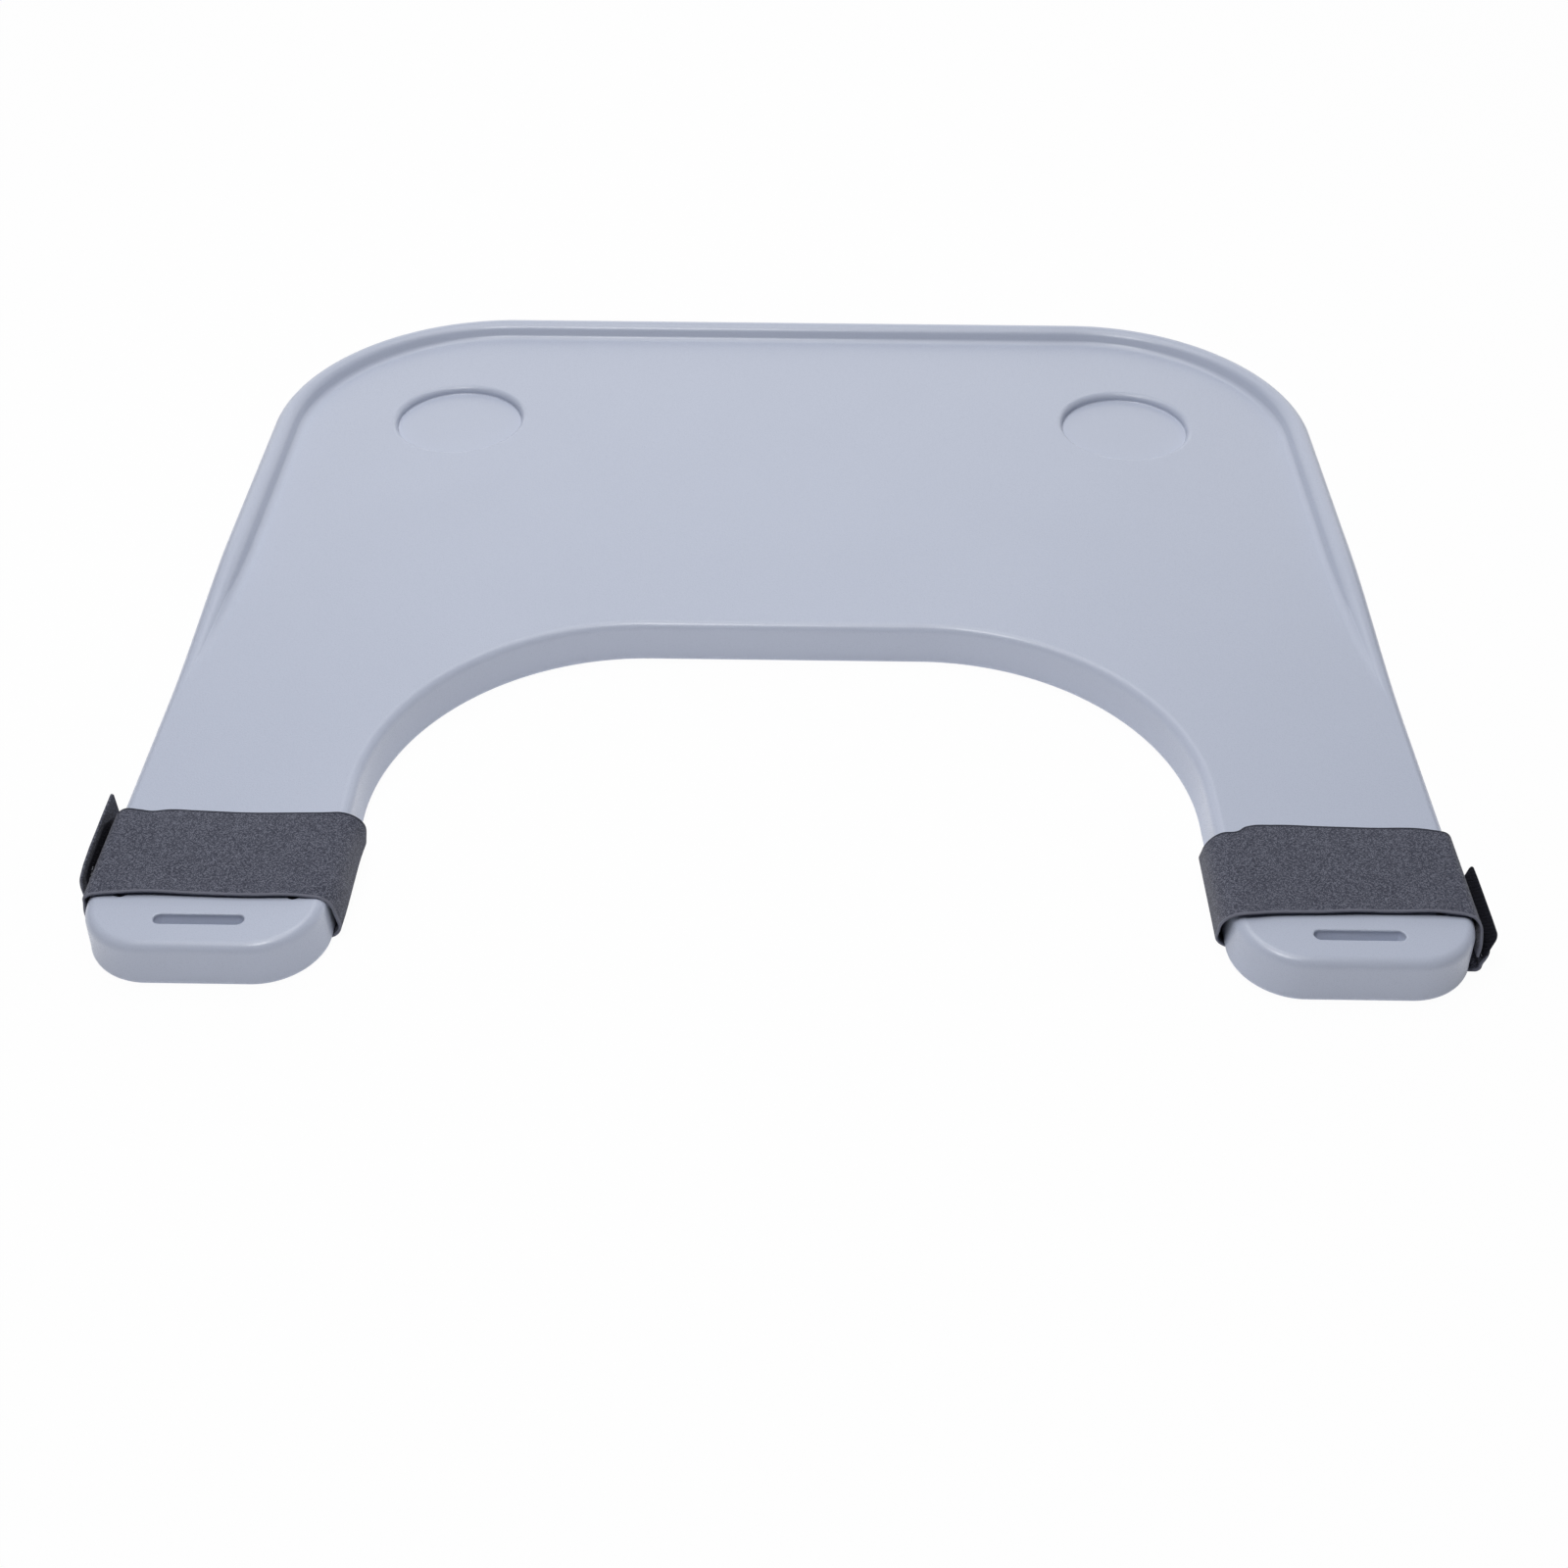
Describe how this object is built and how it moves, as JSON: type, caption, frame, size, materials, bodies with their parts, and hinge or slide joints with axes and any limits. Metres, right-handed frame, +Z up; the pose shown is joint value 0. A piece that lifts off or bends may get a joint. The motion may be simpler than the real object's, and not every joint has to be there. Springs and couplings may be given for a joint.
{
  "type": "wheelchair tray table",
  "caption": "U-shaped hollow plastic lap tray with a fading rim, round cup recesses, slotted arms and a hook-and-loop strap round each arm.",
  "frame": {"origin": "centre of the tray's plan (600 x 552 mm), on its flat underside", "axes": "+X across the tray to the user's right as seen from the arm ends, +Y from the arm ends to the far edge, +Z up"},
  "size_m": [0.613, 0.552, 0.0316],
  "materials": {
    "tray_plastic": "satin blue-grey moulded plastic with a fine leather grain",
    "band_fabric": "finely woven dark grey loop fabric",
    "hook_tape": "near-black hook tape",
    "thread": "light grey sewing thread"
  },
  "bodies": {
    "tray": {"tray_moulding": "tray_plastic"},
    "left_strap": {"left_strap_band": "band_fabric"},
    "left_strap_end": {"left_strap_free_end": "band_fabric", "left_strap_hook_tape": "hook_tape", "left_strap_upper_stitch_row": "thread", "left_strap_lower_stitch_row": "thread"},
    "right_strap": {"right_strap_band": "band_fabric"},
    "right_strap_end": {"right_strap_free_end": "band_fabric", "right_strap_hook_tape": "hook_tape", "right_strap_upper_stitch_row": "thread", "right_strap_lower_stitch_row": "thread"}
  },
  "joints": [
    {"name": "left_strap_slide", "type": "slide", "parent": "tray", "child": "left_strap", "axis": [0, 1, 0], "range_m": [-0.028, 0.035]},
    {"name": "left_strap_peel", "type": "hinge", "parent": "left_strap", "child": "left_strap_end", "pos_m": [-0.3047, -0.209, 0.0018], "axis": [0, -1, 0], "range_deg": [-1.5, 170]},
    {"name": "right_strap_slide", "type": "slide", "parent": "tray", "child": "right_strap", "axis": [0, 1, 0], "range_m": [-0.028, 0.035]},
    {"name": "right_strap_peel", "type": "hinge", "parent": "right_strap", "child": "right_strap_end", "pos_m": [0.3047, -0.233, 0.0018], "axis": [0, 1, 0], "range_deg": [-12, 160]}
  ]
}
